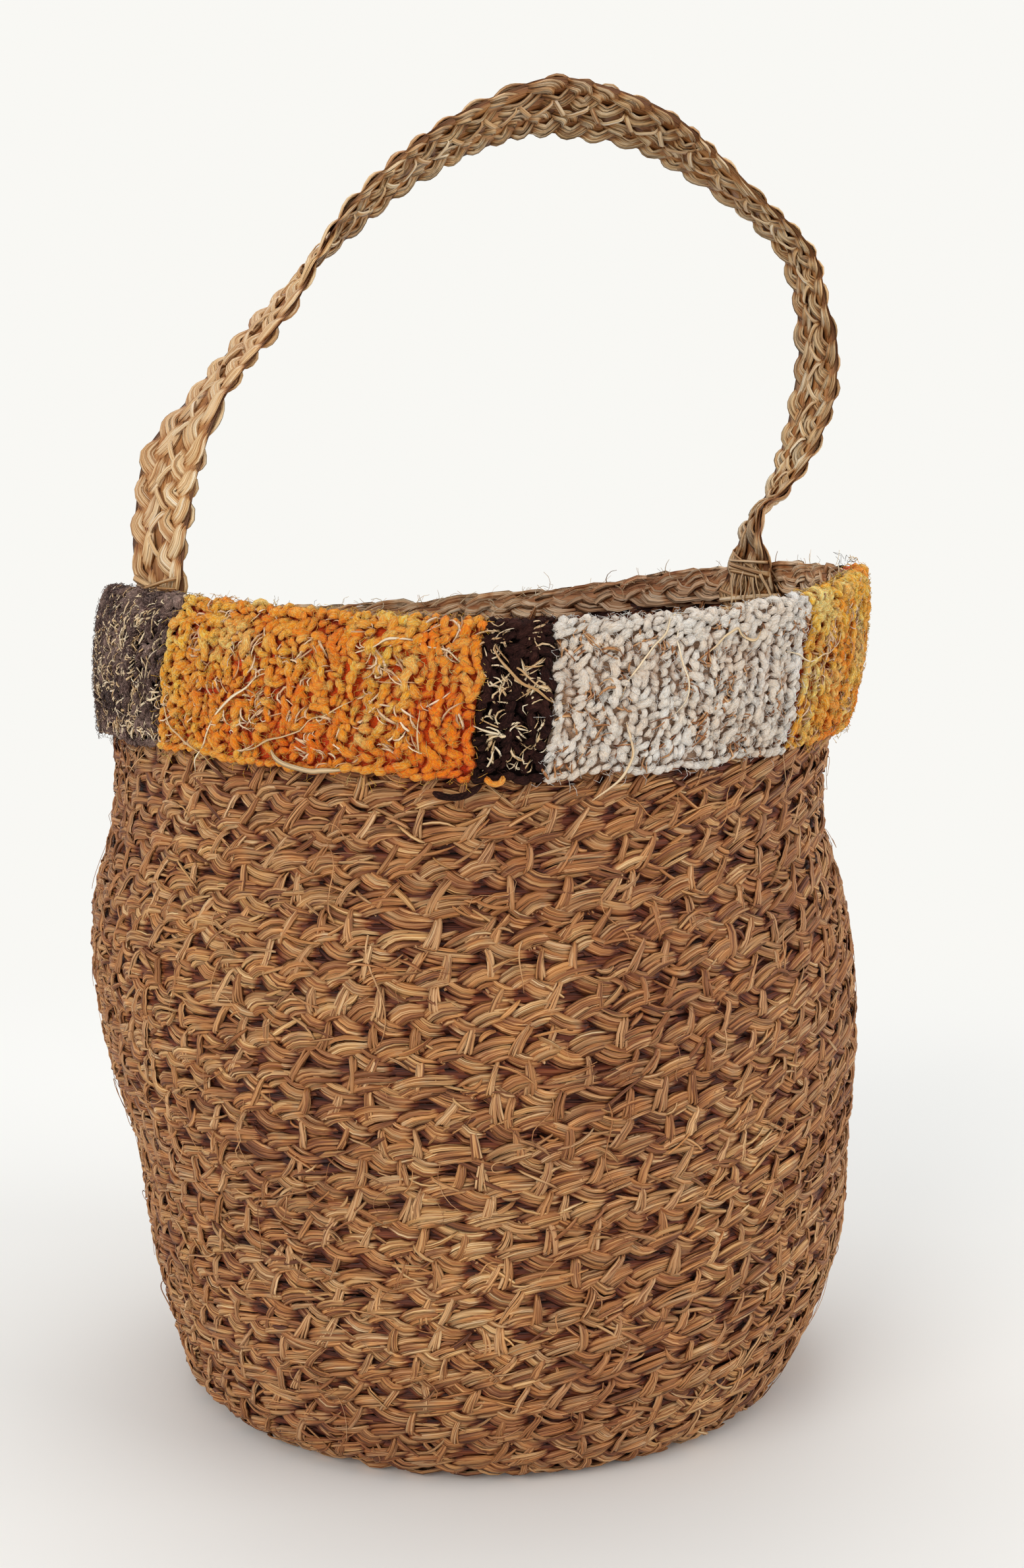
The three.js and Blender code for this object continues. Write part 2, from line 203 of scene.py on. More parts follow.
def newMaterial(name, roughness, specular):
    material = bpy.data.materials.new(name)
    material.use_nodes = True
    shader = material.node_tree.nodes["Principled BSDF"]
    shader.inputs["Roughness"].default_value = roughness
    shader.inputs["Specular IOR Level"].default_value = specular
    return material, shader


def attribute(tree, name, output="Fac"):
    return addNode(tree, "Attribute", attribute_name=name).outputs[output]


def stretchedNoise(tree, vector, scale, detail, offset=0):
    mapping = addNode(tree, "Mapping", {"Scale": scale, "Location": (offset, offset, offset)})
    noise = addNode(tree, "TexNoise", {"Scale": 1, "Detail": detail})
    tree.links.new(vector, mapping.inputs["Vector"])
    tree.links.new(mapping.outputs[0], noise.inputs["Vector"])
    return noise.outputs["Fac"]


def colourRamp(tree, value, stops):
    ramp = addNode(tree, "ValToRGB")
    elements = ramp.color_ramp.elements
    while len(elements) < len(stops):
        elements.new(0.5)
    for element, (place, colour) in zip(elements, stops):
        element.position = place
        element.color = (*linear(colour), 1)
    tree.links.new(value, ramp.inputs["Fac"])
    return ramp.outputs["Color"]


def blendColours(tree, kind, share, first, second):
    mix = addNode(tree, "Mix", data_type="RGBA", blend_type=kind)
    mix.inputs[0].default_value = share
    tree.links.new(first, mix.inputs[6])
    tree.links.new(second, mix.inputs[7])
    return mix.outputs[2]


def multiplied(tree, colour, *shades):
    for shade in shades:
        colour = blendColours(tree, "MULTIPLY", 1, colour, shade)
    return colour


def bumpFrom(tree, height, strength, distance, normal=None):
    bump = addNode(tree, "Bump", {"Strength": strength, "Distance": distance})
    tree.links.new(height, bump.inputs["Height"])
    if normal is not None:
        tree.links.new(normal, bump.inputs["Normal"])
    return bump.outputs["Normal"]


white = (255, 255, 255)
grain = {                  # how tight each noise is in x, y and z, its detail, its offset
    "fine": ((0.05, 2.6, 2.6), 3, 0),
    "broad": ((0.03, 1.0, 1.0), 2, 7),
    "lines": ((0.02, 1.15, 1.15), 1, 19),
    "patches": ((14, 14, 14), 2, 0),
    "fluff": ((1.1, 2.4, 2.4), 6, 0),
    "yarnPatches": ((60, 60, 60), 3, 0),
}
patchColours = [(0.3, (220, 204, 194)), (0.7, (255, 255, 250))]
# In each raffia look the recess ramp is painted shade: it darkens a strand where it lies low, in the gaps and under
# crossings
raffiaLooks = {
    "wall": {
        "fibres": [(0.36, (116, 70, 40)), (0.45, (180, 136, 92)), (0.55, (212, 173, 128)), (0.66, (246, 224, 190))],
        "tones": [(0, (142, 102, 80)), (0.22, (206, 172, 146)), (0.45, (248, 218, 182)), (0.6, (232, 224, 216)),
                  (0.8, (255, 240, 210)), (1, (255, 254, 246))],
        "paintedRecessShade": [(0, (60, 22, 8)), (0.3, (164, 112, 82)), (0.62, white)],
        "grooves": (172, 130, 98),
        "roughness": 0.6,
    },
    "stitch": {
        "fibres": [(0.36, (150, 104, 66)), (0.45, (198, 152, 106)), (0.55, (222, 180, 134)), (0.66, (244, 214, 172))],
        "tones": [(0, (206, 178, 152)), (0.4, (240, 218, 192)), (0.7, (240, 232, 226)), (1, (255, 250, 242))],
        "paintedRecessShade": [(0, (112, 66, 40)), (0.35, (196, 156, 128)), (0.7, white)],
        "grooves": (150, 112, 86),
        "roughness": 0.55,
    },
    "strap": {
        "fibres": [(0.36, (182, 142, 98)), (0.45, (236, 208, 164)), (0.55, (250, 233, 202)), (0.66, (255, 252, 242))],
        "tones": [(0, (204, 176, 146)), (0.35, (242, 226, 202)), (0.7, (250, 244, 234)), (1, (255, 255, 252))],
        "paintedRecessShade": [(0, (140, 98, 62)), (0.3, (220, 190, 156)), (0.6, white)],
        "grooves": (206, 174, 142),
        "roughness": 0.5,
    },
    # the rim's raffia is pale, and is also painted lighter than the wall's, with little recess shade, to offset the
    # shade inside the basket's mouth
    "rim": {
        "fibres": [(0.36, (196, 158, 122)), (0.45, (240, 214, 182)), (0.55, (252, 236, 212)),
                   (0.66, (255, 250, 240))],
        "tones": [(0, (214, 190, 170)), (0.5, (248, 234, 220)), (1, (255, 254, 250))],
        "paintedRecessShade": [(0, (176, 136, 106)), (0.3, (228, 202, 178)), (0.6, white)],
        "grooves": (200, 168, 138),
        "roughness": 0.6,
    },
    "loose": {
        "fibres": [(0.3, (232, 212, 180)), (0.5, (250, 238, 214)), (0.7, (255, 250, 238))],
        "tones": [(0, (206, 178, 140)), (0.5, (246, 236, 218)), (1, (255, 255, 252))],
        "paintedRecessShade": [(0, (170, 136, 102)), (0.4, white)],
        "grooves": (224, 200, 170),
        "roughness": 0.45,
    },
}


def raffiaMaterial(name, look):
    material, shader = newMaterial("raffia_" + name, look["roughness"], 0.35)
    tree = material.node_tree
    strand = attribute(tree, "strand", "Vector")
    fine, broad, lines = (stretchedNoise(tree, strand, *grain[kind]) for kind in ("fine", "broad", "lines"))
    # a dark line between one fibre and the next, wherever the noise passes its middle value
    groove = calculate(tree, "ABSOLUTE", calculate(tree, "SUBTRACT", lines, 0.5))
    fibres = calculate(tree, "MULTIPLY_ADD", fine, 0.55, calculate(tree, "MULTIPLY", broad, 0.45))
    patches = stretchedNoise(tree, addNode(tree, "TexCoord").outputs["Object"], *grain["patches"])
    colour = multiplied(
        tree,
        colourRamp(tree, fibres, look["fibres"]),
        colourRamp(tree, attribute(tree, "tone"), look["tones"]),
        colourRamp(tree, patches, patchColours),
        # painted shade from the recess ramp: darker where a strand lies low in the weave, where shade falls
        colourRamp(tree, attribute(tree, "height"), look["paintedRecessShade"]),
        colourRamp(tree, groove, [(0, look["grooves"]), (0.045, white)]),
    )
    tree.links.new(colour, shader.inputs["Base Color"])
    normal = bumpFrom(tree, groove, 0.8, 0.0012)
    tree.links.new(bumpFrom(tree, fine, 0.7, 0.0003, normal), shader.inputs["Normal"])
    return material


# In each yarn look, hollow is the painted shade of the hollows between stitches and of the ground cloth
yarnLooks = {
    "orange": {"dark": (252, 144, 8), "mid": (255, 200, 62), "light": (255, 244, 176), "sheen": 0.1,
               "paintedHollowShade": (244, 158, 74), "deep": (255, 176, 60), "pale": (255, 255, 250)},
    "dark": {"dark": (26, 9, 6), "mid": (54, 26, 22), "light": (92, 58, 50), "sheen": 0,
             "paintedHollowShade": (150, 130, 126), "deep": (190, 170, 166), "pale": (255, 246, 240)},
    "cream": {"dark": (240, 222, 202), "mid": (255, 250, 240), "light": white, "sheen": 0.3,
              "paintedHollowShade": (226, 196, 172), "deep": (252, 238, 224), "pale": white},
    "brown": {"dark": (30, 14, 12), "mid": (88, 60, 54), "light": (212, 182, 168), "sheen": 0.06,
              "paintedHollowShade": (150, 118, 110), "deep": (150, 132, 128), "pale": (255, 250, 246)},
}


def yarnMaterial(name, look):
    material, shader = newMaterial("yarn_" + name, 0.95, 0.15)
    shader.inputs["Sheen Weight"].default_value = look["sheen"]
    shader.inputs["Sheen Roughness"].default_value = 0.5
    tree = material.node_tree
    fluff = stretchedNoise(tree, attribute(tree, "strand", "Vector"), *grain["fluff"])
    patches = stretchedNoise(tree, addNode(tree, "TexCoord").outputs["Object"], *grain["yarnPatches"])
    stops = [(0.36, look["dark"]), (0.5, look["mid"]), (0.64, look["light"])]
    colour = multiplied(
        tree,
        blendColours(tree, "MIX", 0.4, colourRamp(tree, fluff, stops), colourRamp(tree, patches, stops)),
        colourRamp(tree, attribute(tree, "tone"), [(0, look["deep"]), (1, look["pale"])]),
        # painted shade: darker where the yarn lies low, between the stitches
        colourRamp(tree, attribute(tree, "height"), [(0, look["paintedHollowShade"]), (0.55, white)]),
    )
    tree.links.new(colour, shader.inputs["Base Color"])
    tree.links.new(bumpFrom(tree, fluff, 1.0, 0.0018), shader.inputs["Normal"])
    return material


raffia = {name: raffiaMaterial(name, look) for name, look in raffiaLooks.items()}
yarn = {name: yarnMaterial(name, look) for name, look in yarnLooks.items()}
print("materials made:", len(raffia) + len(yarn))

# Strands
tubes = {}


def vertexPlaces(mesh):
    places = np.empty(len(mesh.vertices) * 3, np.float32)
    mesh.vertices.foreach_get("co", places)
    return places.reshape(-1, 3)


def unitTube(rings, corners):
    # a closed tube, with the ring and the turn round it that each vertex has
    if (rings, corners) not in tubes:
        tube = bmesh.new()
        bmesh.ops.create_cone(tube, cap_ends=True, segments=corners, radius1=1, radius2=1, depth=1)
        sides = [edge for edge in tube.edges if abs(edge.verts[0].co.z - edge.verts[1].co.z) > 0.5]
        bmesh.ops.subdivide_edges(tube, edges=sides, cuts=rings - 2, use_grid_fill=True)
        mesh = meshFrom(tube, "tube")
        places = vertexPlaces(mesh)
        ring = np.rint((places[:, 2] + 0.5) * (rings - 1)).astype(int)
        tubes[rings, corners] = mesh, ring, np.arctan2(places[:, 1], places[:, 0])
    return tubes[rings, corners]


def unit(vectors):
    return vectors / np.maximum(np.linalg.norm(vectors, axis=-1, keepdims=True), 1e-9)


strandTop = 2.0            # mm from the mid line, where a strand's "height" is 1; lower parts get painted shade
lowest = 0.0001            # metres, so that strands are pressed flat where they stand on the floor


def strandMesh(name, path, halfWidth, halfHeight, wrap, twist=0.0, tone=None, corners=6, seed=0):
    # path is (strands, rings, 3) laid out flat; widths, heights and twists may differ ring by ring
    copies, rings = path.shape[:2]
    template, ring, turn = unitTube(rings, corners)
    random = np.random.default_rng(seed)
    tone = random.uniform(0, 1, (copies, 1)) if tone is None else tone
    halfWidth, halfHeight, twist, tone = (np.broadcast_to(values, (copies, rings))
                                          for values in (halfWidth, halfHeight, twist, tone))
    ahead = unit(np.gradient(path, axis=1))
    across = unit(np.cross((0, 0, 1), ahead))
    above = np.cross(ahead, across)
    cosine, sine = np.cos(twist)[..., None], np.sin(twist)[..., None]
    side = across * cosine + above * sine
    crest = above * cosine - across * sine
    aside = np.cos(turn) * halfWidth[:, ring]
    height = np.sin(turn) * halfHeight[:, ring]
    flat = path[:, ring] + side[:, ring] * aside[..., None] + crest[:, ring] * height[..., None]
    steps = np.linalg.norm(np.diff(path, axis=1), axis=-1)
    run = np.concatenate([np.zeros((copies, 1)), np.cumsum(steps, axis=1)], axis=1)
    run = run + random.uniform(0, 400, (copies, 1))
    strands = bmesh.new()
    for _ in range(copies):
        strands.from_mesh(template)
    mesh = meshFrom(strands, name)
    places = wrap(flat.reshape(-1, 3)) / 1000
    places[:, 2] = np.maximum(places[:, 2], lowest)
    mesh.vertices.foreach_set("co", places.astype(np.float32).ravel())
    # height, from how far a strand stands out, is the mask for the painted shade in the recesses
    setAttributes(mesh, strand=np.stack([run[:, ring], aside, height], axis=-1).reshape(-1, 3),
                  tone=tone[:, ring].ravel(), height=np.clip(np.abs(flat[..., 2]) / strandTop, 0, 1).ravel())
    mesh.shade_smooth()
    mesh.update()
    return mesh


def setAttributes(mesh, **tables):
    for name, values in tables.items():
        values = np.ascontiguousarray(values, np.float32)
        kind, key = ("FLOAT_VECTOR", "vector") if values.ndim == 2 else ("FLOAT", "value")
        mesh.attributes.new(name, kind, "POINT").data.foreach_set(key, values.ravel())


def addPiece(name, mesh, material, nodes=(), body="basket"):
    mesh.materials.append(material)
    piece = addObject(name, mesh)
    if nodes:
        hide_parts(*nodes)
    if body:
        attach(piece, body)
    return piece


def wander(seed, place, rows=1, values=4099):
    # smooth random values from -1 to 1 along a line of places, a row for each strand
    table = np.random.default_rng(seed).uniform(-1, 1, (rows, values))
    low = np.floor(place).astype(int)
    share = place - low
    share = share * share * (3 - 2 * share)
    rowsOfValues = table[:, low % values] * (1 - share) + table[:, (low + 1) % values] * share
    return rowsOfValues if rows > 1 else rowsOfValues[0]


def drawer(random, count):
    # draws a column of random numbers, one for each strand
    return lambda low, high: random.uniform(low, high, (count, 1))


def bentPaths(t, half, lean, bow):
    # bent lengths that lean away from y: how far each ring lies from the middle in x and in y
    arc = bow * (1 - t ** 2)
    return t * half * np.sin(lean) + arc * np.cos(lean), t * half * np.cos(lean) - arc * np.sin(lean)


def smoothLine(points, steps=60):
    # centripetal Catmull-Rom through the points
    p = np.array(points, float)
    p = np.vstack([2 * p[0] - p[1], p, 2 * p[-1] - p[-2]])
    t = np.linspace(0, 1, steps, endpoint=False)[:, None]
    parts = []
    for a, b, c, d in zip(p[:-3], p[1:-2], p[2:-1], p[3:]):
        ab, bc, cd = (np.linalg.norm(v) ** 0.5 for v in (b - a, c - b, d - c))
        leave = ((b - a) / ab - (c - a) / (ab + bc) + (c - b) / bc) * bc
        arrive = ((c - b) / bc - (d - b) / (bc + cd) + (d - c) / cd) * bc
        parts.append(b + leave * t + (3 * (c - b) - 2 * leave - arrive) * t ** 2
                     + (2 * (b - c) + leave + arrive) * t ** 3)
    return np.vstack(parts + [p[-2:-1]])


def runAlong(line):
    return np.concatenate([[0], np.cumsum(np.linalg.norm(np.diff(line, axis=0), axis=1))])


def placesAlong(run, table, places):
    return np.stack([np.interp(places, run, table[:, i]) for i in range(3)], axis=-1)


# Wall
wall = {
    "baseRadius": 110,
    "baseHeight": 2.5,     # of the plait's mid line
    "rimHeight": 309,
    "rimOut": 30.5,
    "bellyOut": 37.9,
    "lean": 7.5,
    "leanDirection": -34,
    "rimTilt": 6.5,
    "rimTiltAngle": -8,
    "rimSaddle": 6.5,
    "rimSaddleAngle": -14,
    "courses": 26,
    "seam": 60,            # degrees
    "lastTurn": 25.9,
    "coarseFrom": 22,      # turns above it lie under the band, and have fewer rings
    "paleFrom": 24,        # turns above it are of the rim's paler raffia, also painted lighter to offset the shade inside the mouth
    "firstTurn": -8.566,
    "tuckDepth": 2.4,      # of the last turn, where it ends behind the one before it
    "stations": [          # share of the height, of the belly's reach, of the lean
        (0.02104, 0.22427, 0), (0.05178, 0.3562, 0.13333), (0.09709, 0.48813, 0.33333),
        (0.19417, 0.69921, 0.53333), (0.32362, 0.80475, 0.33333), (0.43689, 0.96306, -0.2),
        (0.55016, 1, -0.66667), (0.63107, 0.92348, -0.93333), (0.69579, 0.76517, -1),
        (0.76052, 0.7124, -0.86667), (0.80906, 0.73879, -0.66667), (0.90615, 0.84433, -0.33333),
        (0.97087, 0.84433, -0.13333),
    ],
}
outline = smoothLine(
    [(wall["baseRadius"], 0, wall["baseHeight"])]
    + [(wall["baseRadius"] + out * wall["bellyOut"], lean * wall["lean"], height * wall["rimHeight"])
       for height, out, lean in wall["stations"]]
    + [(wall["baseRadius"] + wall["rimOut"], 0, wall["rimHeight"])]
)
outlineRun = runAlong(outline)
wallLength = outlineRun[-1]
pitch = wallLength / wall["courses"]
rimSlope = unit(outline[-1] - outline[-3])


def middleOfWall(along, angle):
    held = np.clip(along, 0, wallLength)
    radius, lean, height = (np.interp(held, outlineRun, outline[:, i]) for i in range(3))
    past = np.maximum(along - wallLength, 0)
    radius = radius + np.minimum(along, 0) + past * rimSlope[0]
    lean = lean + past * rimSlope[1]
    height = height + past * rimSlope[2]
    share = np.clip((height - wall["baseHeight"]) / (wall["rimHeight"] - wall["baseHeight"]), 0, None)
    tilt = wall["rimTilt"] * np.cos(angle - math.radians(wall["rimTiltAngle"]))
    saddle = wall["rimSaddle"] * np.cos(2 * (angle - math.radians(wall["rimSaddleAngle"])))
    turn = math.radians(wall["leanDirection"])
    return np.stack([
        radius * np.cos(angle) + lean * math.cos(turn),
        radius * np.sin(angle) + lean * math.sin(turn),
        height + (tilt + saddle) * share ** 2,
    ], axis=-1)


def onWall(along, angle, out):
    rise = middleOfWall(along + 0.5, angle) - middleOfWall(along - 0.5, angle)
    round_ = np.stack([-np.sin(angle), np.cos(angle), np.zeros_like(angle)], axis=-1)
    normal = unit(np.cross(round_, rise))
    return middleOfWall(along, angle) + normal * out[..., None]


# The plait's own length against its turns round the basket, counted from the foot of the wall
turns = np.linspace(wall["firstTurn"] - 0.6, wall["courses"] + 0.1, 20000)
turnHeights = (turns + 0.5) * pitch
turnRadii = np.where(turnHeights < 0, wall["baseRadius"] + turnHeights,
                     np.interp(turnHeights, outlineRun, outline[:, 0]))
plaitRun = np.concatenate([[0], np.cumsum(2 * np.pi * np.maximum(turnRadii[1:], 4) * np.diff(turns))])
plaitRun = plaitRun - np.interp(0, turns, plaitRun)


def lengthAtTurn(turn):
    return np.interp(turn, turns, plaitRun)


def wrapWall(flat):
    # the last turn slides down behind the one before it, so that the rim stays level
    turn = np.interp(flat[:, 0], plaitRun, turns)
    top = np.minimum((turn + 1) * pitch, wallLength)
    tucked = turn + 1 - top / pitch
    along = top - pitch / 2 + flat[:, 1]
    return onWall(along, math.radians(wall["seam"]) + turn * 2 * np.pi, flat[:, 2] - wall["tuckDepth"] * tucked)


# Plait
wallPlait = {
    "period": 46,          # of one strand, from edge to edge and back
    "reach": 3.7,          # of a strand's middle to each side
    "rise": 1.3,
    "strandWidth": 8.9,
    "ribbons": 5,          # raffia strips in a strand
    "ribbonWidth": 3.3,
    "ribbonHeight": 1.1,
    "crown": 0.45,
    "tip": 0.13,           # each turn leans out over the next one up
    "edgeRun": 0.12,       # how far a strand runs along the edge before it turns back
    "ringStep": 2.7,
    "unruly": 1.7,
}
strays = {                 # how far a strip strays for each unit of unruly, and over what length in mm
    "aside": (0.4, 17),
    "up": (0.28, 13),
    "turn": (0.45, 15),
    "swell": (0.16, 19),
}


def plaitMesh(name, first, last, look, wrap, seed, middle=0.0, coarse=1):
    x = np.linspace(first, last, int(round((last - first) / (look["ringStep"] * coarse))) + 1)
    count = 3 * look["ribbons"]
    sway = 0.8 * wander(seed, x / 27) + 1.4 * wander(seed + 11, x / 120)
    shiftAside, shiftUp, turnOver, swell = (
        wander(seed + number, x / wave, count) * share * look["unruly"]
        for number, (share, wave) in enumerate(strays.values(), 1))
    tone = 0.5 + 0.28 * wander(seed + 5, x / 60, count) + 0.3 * wander(seed + 6, x / 9, count)
    spreads = np.linspace(-1, 1, look["ribbons"])
    paths, widths = [], []
    for strand in range(3):
        phase = 2 * np.pi * (x / look["period"] + strand / 3) + sway
        reach = look["reach"] * (1 + 0.1 * wander(seed + 7 + strand, x / 23))
        y = reach * (np.sin(phase) + look["edgeRun"] * np.sin(3 * phase)) / (1 - 0.67 * look["edgeRun"])
        z = look["rise"] * np.sin(2 * phase)
        slope = np.gradient(y, x)
        size = np.hypot(1, slope)
        fan = 0.72 + 0.34 * np.sqrt(np.abs(np.cos(phase)))     # a strand is pinched at the edges
        for row, spread in enumerate(spreads, strand * look["ribbons"]):
            aside = (look["strandWidth"] - look["ribbonWidth"]) / 2 * spread * fan + shiftAside[row]
            paths.append(np.stack([
                x - aside * slope / size,
                middle + y + aside / size,
                z + look["crown"] * (1 - spread ** 2) + shiftUp[row] + look["tip"] * (y + aside),
            ], axis=-1))
            widths.append(look["ribbonWidth"] / 2 * fan)
    twist = turnOver - 0.3 * np.tile(spreads, 3)[:, None]
    return strandMesh(name, np.array(paths), np.array(widths) * (1 + swell), look["ribbonHeight"] / 2 * (1 + swell),
                      wrap, twist, np.clip(tone, 0, 1), corners=3, seed=seed)


def fillingMesh(name, first, last, width, wrap, middles=(0,), step=6.5, level=-0.3, stray=0.4):
    x = np.linspace(first, last, int((last - first) / step))
    paths = [np.stack([x, middle + stray * wander(5, x / 22), level + 0.3 * wander(6, x / 25)], axis=-1)
             for middle in middles]
    # the strips lie low, so the recess ramp paints them in shade
    return strandMesh(name, np.array(paths), width / 2, 0.45, wrap, tone=0.3, corners=4, seed=7)


def makeWall():
    first = lengthAtTurn(wall["firstTurn"] - 0.3)
    base = plaitMesh("base_plait", first, lengthAtTurn(0), dict(wallPlait, ringStep=3.8), wrapWall, 11)
    addPiece("base_plait", base, raffia["wall"], ["base_coil", "base_centre_knot"])
    rimStart = lengthAtTurn(wall["lastTurn"] - 1.6)
    # flat strips inside the plait and behind its edges, which show only in its gaps; they lie low, so they are
    # painted in the recess shade
    for name, start, end, width, kind, more in (
            ("plait_filling", first + 40, rimStart, 11.5, "wall", {}),
            ("rim_filling", rimStart, lengthAtTurn(wall["lastTurn"]), 7.5, "rim", {}),
            ("joint_filling", 0, rimStart, 5, "wall", {"middles": (pitch / 2,), "level": 0.1, "stray": 1.2})):
        addPiece(name, fillingMesh(name, start, end, width, wrapWall, **more), raffia[kind])
    for course in range(1, wall["courses"] + 1):
        name, coarse = f"plait_turn_{course:02d}", 1.4 if course > wall["coarseFrom"] else 1
        start, end = lengthAtTurn(course - 1), lengthAtTurn(min(course, wall["lastTurn"]))
        mesh = plaitMesh(name, start, end, wallPlait, wrapWall, 11, coarse=coarse)
        kind = "rim" if course > wall["paleFrom"] else "wall"
        addPiece(name, mesh, raffia[kind], [f"wall_course_{course:02d}"])


makeWall()
print("wall plaited:", wall["courses"], "turns, pitch", round(pitch, 3), "wall", round(wallLength, 3))

# Stitches
stitches = {
    "spacing": 16,
    "halfLength": 6.6,
    "strips": 4,           # raffia strips in a stitch
    "stripWidth": 2.2,
    "halfHeight": 0.42,
    "lean": 2.8,
    "lift": 2.45,
    "rings": 7,
    "bandFrom": 22.1,      # turn above which the band hides the outer stitches
}


def stitchMesh(name, firstTurn, lastTurn, look, side, share, seed):
    random = np.random.default_rng(seed)
    start, end = lengthAtTurn(firstTurn), lengthAtTurn(lastTurn)
    count = int((end - start) / look["spacing"])
    x = start + (np.arange(count) + 0.5 + random.uniform(-0.42, 0.42, count)) * (end - start) / count
    x = x[random.uniform(0, 1, count) < share]
    each = drawer(random, len(x))
    t = np.linspace(-1, 1, look["rings"])
    half = look["halfLength"] * each(0.8, 1.15)
    lean = look["lean"] * each(-0.1, 1.7) * side
    bow = each(-1.5, 1.5)
    middle = -pitch / 2 + each(-1.2, 1.2)
    fan = each(0.5, 1.25)
    tone = each(0, 1)
    paths, widths, tones = [], [], []
    for strip in np.linspace(-1, 1, look["strips"]):
        spread = strip * fan * look["stripWidth"] * 0.72
        own = half * each(0.8, 1.12)
        place = x[:, None] + t * lean + bow * (1 - t ** 2) + spread * (0.75 - 0.45 * t)      # wider at its foot
        place = place + each(-0.6, 0.6) * t
        lift = look["lift"] * each(0.88, 1.1)
        z = lift - 3.2 * np.abs(t) ** 5 - 0.3 * np.exp(-(t / 0.25) ** 2) - 0.3 * strip ** 2
        paths.append(np.stack([place, middle + t * own, z * side], axis=-1))
        widths.append(look["stripWidth"] / 2 * each(0.55, 1.15) * (1 - 0.4 * t ** 2))
        tones.append(np.clip(tone + random.normal(0, 0.2, tone.shape), 0, 1))
    twist = random.uniform(-0.6, 0.6, (len(x) * look["strips"], 1))
    return strandMesh(name, np.concatenate(paths), np.concatenate(widths), look["halfHeight"], wrapWall, twist,
                      np.concatenate(tones), corners=3, seed=seed)


def makeStitches():
    inner = dict(stitches, strips=3, rings=6)
    last = wall["lastTurn"] - 0.4
    for name, look, first, end, side, share, seed in (
            ("base_stitches", dict(stitches, lift=1.9), wall["firstTurn"] + 1, 0.5, 1, 0.8, 101),
            ("lower_stitches", stitches, 0.5, 8, 1, 1, 102),
            ("middle_stitches", stitches, 8, 15, 1, 1, 103),
            ("upper_stitches", stitches, 15, stitches["bandFrom"], 1, 1, 104),
            ("inner_stitches", inner, 0.5, last, -1, 0.45, 131)):
        addPiece(name, stitchMesh(name, first, end, look, side, share, seed), raffia["stitch"])


makeStitches()
print("stitches sewn")

# Loose raffia
fibres = {
    "wallCount": 320,
    "wallLength": (9, 40),
    "wallWidth": (0.22, 0.7),
    "rings": 10,
}
frays = {                  # broken strips of the plait that lie over its neighbours
    "count": 2500,
    "length": (7, 20),
    "width": (1.2, 2.7),
    "slope": 0.75,         # radians from the plait's own direction, at most
    "frayed": 0.4,         # share of them with one end that stands free
    "rings": 6,
}


def curlyPaths(random, x, y, length, rings, curl, base, lift):
    # thin strips that start in the weave, curl over it and stand off it towards their ends
    count = len(x)
    t = np.linspace(0, 1, rings)
    heading = random.uniform(0, 2 * np.pi, (count, 1))
    bend = random.normal(0, curl, (count, 1)) * t + random.normal(0, curl, (count, 1)) * np.sin(t * 4)
    step = length[:, None] / (rings - 1)
    away = np.cumsum(np.cos(heading + bend) * step, axis=1)
    up = np.cumsum(np.sin(heading + bend) * step, axis=1)
    z = base + lift[:, None] * np.sin(t * random.uniform(1.6, 3.4, (count, 1)))
    return np.stack([x[:, None] + away, y[:, None] + up, z], axis=-1)


def makeWallFibres(look):
    random = np.random.default_rng(211)
    count = look["wallCount"]
    each = drawer(random, count)
    x = lengthAtTurn(random.uniform(0.6, stitches["bandFrom"] - 0.3, count))
    y = random.uniform(-5, 5, count)
    path = curlyPaths(random, x, y, random.uniform(*look["wallLength"], count), look["rings"], 1.1,
                      2.3, random.uniform(0.2, 2.2, count))
    width = each(*look["wallWidth"]) / 2 * (1 - 0.6 * np.linspace(0, 1, look["rings"]) ** 2)
    mesh = strandMesh("loose_fibres", path, width, 0.1, wrapWall, each(-1, 1), corners=4, seed=212)
    addPiece("loose_fibres", mesh, raffia["stitch"])


def makeFrays(look):
    random = np.random.default_rng(231)
    count = look["count"]
    each = drawer(random, count)
    x = lengthAtTurn(random.uniform(0.3, stitches["bandFrom"], count))
    y = random.normal(0.5, 0.2, (count, 1)) * pitch * random.choice((-1, 1), (count, 1))
    t = np.linspace(-1, 1, look["rings"])
    half = each(*look["length"]) / 2
    slope = each(-1, 1) * look["slope"]
    alongY, alongX = bentPaths(t, half, slope, each(-2.2, 2.2))
    frayed = np.where(each(0, 1) < look["frayed"], 1.0, 0.0)
    z = each(1.5, 2.7) - 2.4 * np.abs(t) ** 3 * np.where(t > 0, 1 - frayed, 1)
    path = np.stack([x[:, None] + alongX, y + alongY, z], axis=-1)
    width = each(*look["width"]) / 2 * (1 - 0.65 * t ** 2)
    mesh = strandMesh("frayed_strips", path, width, 0.32, wrapWall, each(-0.7, 0.7) + 0.3 * t, corners=3, seed=232)
    addPiece("frayed_strips", mesh, raffia["wall"])


makeWallFibres(fibres)
makeFrays(frays)

